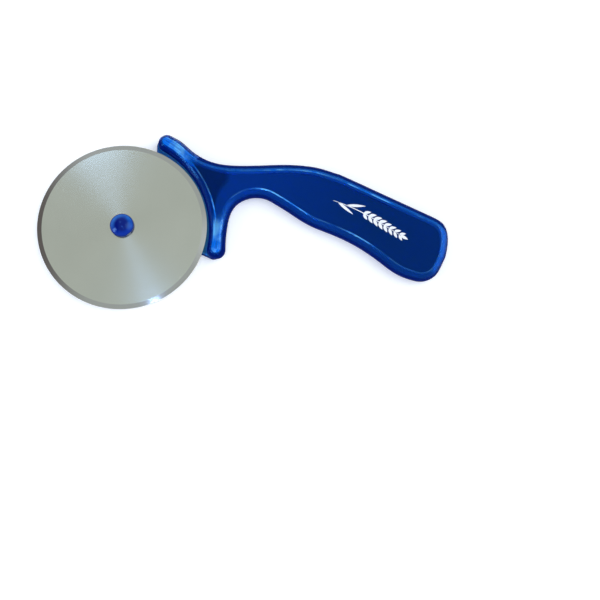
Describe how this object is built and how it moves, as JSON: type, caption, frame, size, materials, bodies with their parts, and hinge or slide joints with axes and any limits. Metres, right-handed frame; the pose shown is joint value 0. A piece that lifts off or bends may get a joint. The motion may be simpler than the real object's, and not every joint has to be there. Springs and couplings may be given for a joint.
{
  "type": "pastry cutter wheel",
  "caption": "Large round steel cutting wheel turning on a plastic rivet in a one-piece moulded handle with a bowed blade guard and a finger notch.",
  "frame": {"origin": "where the blade's axis meets the rest plane, at the middle of the rivet's flush rear flange", "axes": "+X from the blade to the butt of the grip, +Y across the tool towards the neck's back edge, +Z along the blade's axis, from the tool's back to its front"},
  "size_m": [0.2489, 0.1087, 0.0109],
  "materials": {
    "handle_plastic": "polished translucent royal blue moulded polystyrene",
    "blade_steel": "turned stainless sheet with a ground rim on both faces",
    "natural_nylon": "natural nylon, waxy"
  },
  "bodies": {
    "handle": {"handle_body": "handle_plastic", "hub_barrel": "handle_plastic", "hub_button": "handle_plastic", "rear_washer": "natural_nylon", "front_washer": "natural_nylon"},
    "wheel": {"cutting_blade": "blade_steel", "blade_bush": "natural_nylon"}
  },
  "joints": [
    {"name": "blade_spin", "type": "hinge", "parent": "handle", "child": "wheel", "pos_m": [0, 0, 0.0056], "axis": [0, 0, 1], "continuous": true}
  ]
}
